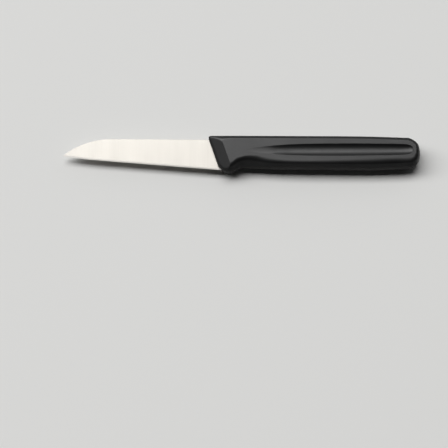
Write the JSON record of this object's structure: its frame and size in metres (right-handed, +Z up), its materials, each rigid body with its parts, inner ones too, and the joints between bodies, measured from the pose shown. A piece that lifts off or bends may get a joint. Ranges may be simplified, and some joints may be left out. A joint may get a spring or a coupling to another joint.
{
  "type": "paring knife",
  "caption": "Small paring knife with a straight pointed stainless blade and a moulded black plastic handle with a guard and fluted cheeks.",
  "frame": {"origin": "middle of the knife's bounding box, on the surface that it lies on", "axes": "+X from the tip to the butt of the handle, +Y from the cutting edge to the spine, +Z up from the cheek that it lies on"},
  "size_m": [0.187, 0.0194, 0.013],
  "materials": {
    "blade_steel": "fine satin ground stainless steel",
    "handle_plastic": "satin black moulded plastic"
  },
  "bodies": {
    "root": {"blade": "blade_steel", "handle": "handle_plastic"}
  },
  "joints": []
}
